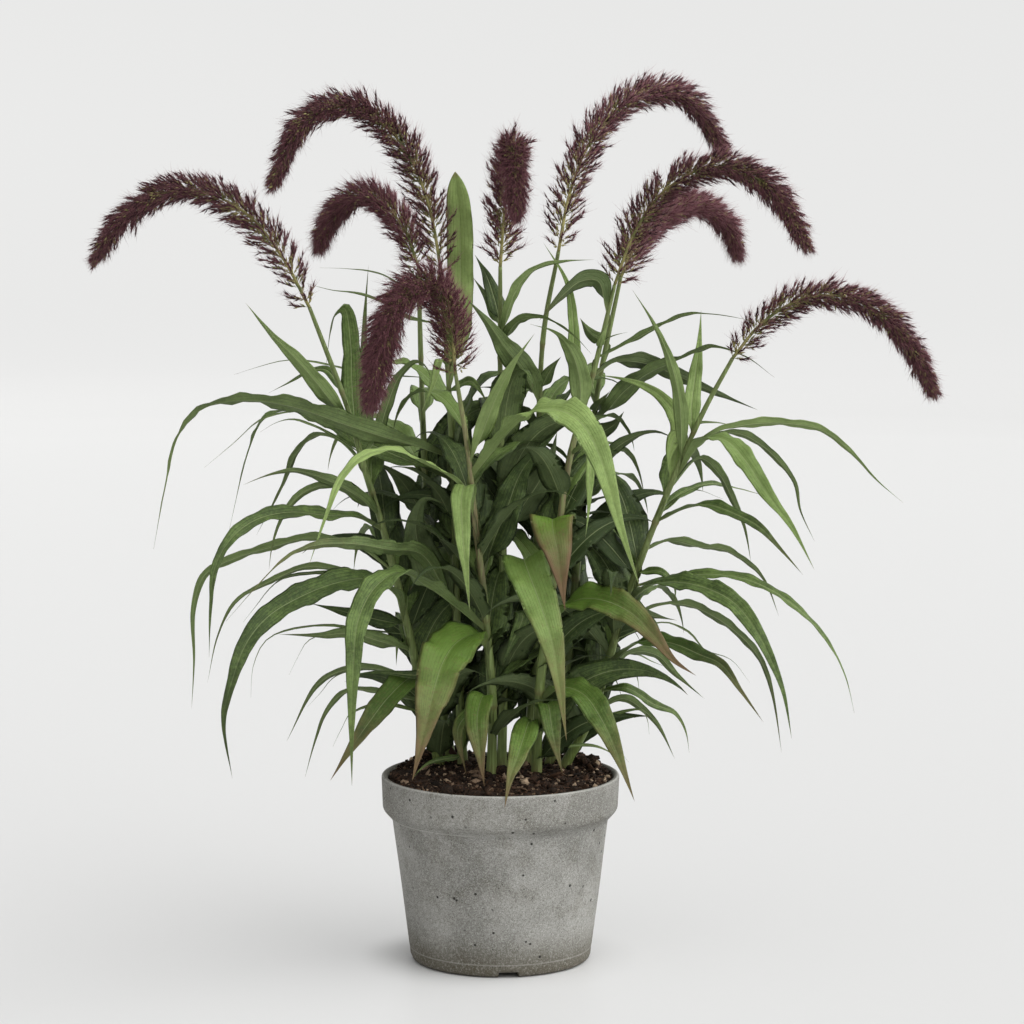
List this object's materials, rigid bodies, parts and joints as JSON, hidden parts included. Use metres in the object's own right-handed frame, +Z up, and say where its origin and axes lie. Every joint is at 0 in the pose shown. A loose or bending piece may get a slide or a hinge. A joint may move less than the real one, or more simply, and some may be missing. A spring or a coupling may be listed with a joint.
{
  "type": "potted ornamental millet",
  "caption": "Arching ornamental millet with long strap leaves and drooping purple bristly plumes, growing in a round grey concrete-look pot with a thick rim",
  "frame": {"origin": "on the ground, at the middle of the pot's flat underside", "axes": "+Z is up, -Y is the front that the picture shows, +X is to the right as seen from the front"},
  "size_m": [0.8346, 0.4955, 0.8779],
  "materials": {
    "pot": "matt grey concrete look, finely pitted",
    "soil": "rough, crumbly, with pale grit and bark",
    "stem": "smooth, olive to tan",
    "leaf": "satin green with a pale midrib and fine veins",
    "plume": "dull purple-brown, bristly"
  },
  "bodies": {
    "root": {"leaf_bent_top": "leaf", "leaf_centre_broad": "leaf", "leaf_curled_left": "leaf", "leaf_foot_centre": "leaf", "leaf_foot_left": "leaf", "leaf_front_broad": "leaf", "leaf_front_left": "leaf", "leaf_front_long": "leaf", "leaf_front_right": "leaf", "leaf_hanging": "leaf", "leaf_inner_broad": "leaf", "leaf_inner_dark": "leaf", "leaf_left_bow": "leaf", "leaf_left_bright": "leaf", "leaf_left_broad": "leaf", "leaf_left_lance": "leaf", "leaf_left_long": "leaf", "leaf_left_low": "leaf", "leaf_left_outer": "leaf", "leaf_left_second": "leaf", "leaf_left_shoulder": "leaf", "leaf_left_waist": "leaf", "leaf_low_right": "leaf", "leaf_red_tipped": "leaf", "leaf_right_bent": "leaf", "leaf_right_bow": "leaf", "leaf_right_broad": "leaf", "leaf_right_cross": "leaf", "leaf_right_dark": "leaf", "leaf_right_lance": "leaf", "leaf_right_long": "leaf", "leaf_right_low": "leaf", "leaf_right_outer": "leaf", "leaf_right_rise": "leaf", "leaf_right_under": "leaf", "leaf_right_upright": "leaf", "leaf_right_waist": "leaf", "leaf_top_arch": "leaf", "leaf_top_blunt": "leaf", "leaf_upright_bright": "leaf", "plume_centre": "plume", "plume_far_left": "plume", "plume_far_right": "plume", "plume_front": "plume", "plume_mid_right": "plume", "plume_small_left": "plume", "plume_small_right": "plume", "plume_upper_left": "plume", "plume_upper_right": "plume", "pot": "pot", "soil": "soil", "stem_centre": "stem", "stem_far_left": "stem", "stem_far_right": "stem", "stem_front": "stem", "stem_mid_right": "stem", "stem_small_left": "stem", "stem_small_right": "stem", "stem_upper_left": "stem", "stem_upper_right": "stem"}
  },
  "joints": []
}
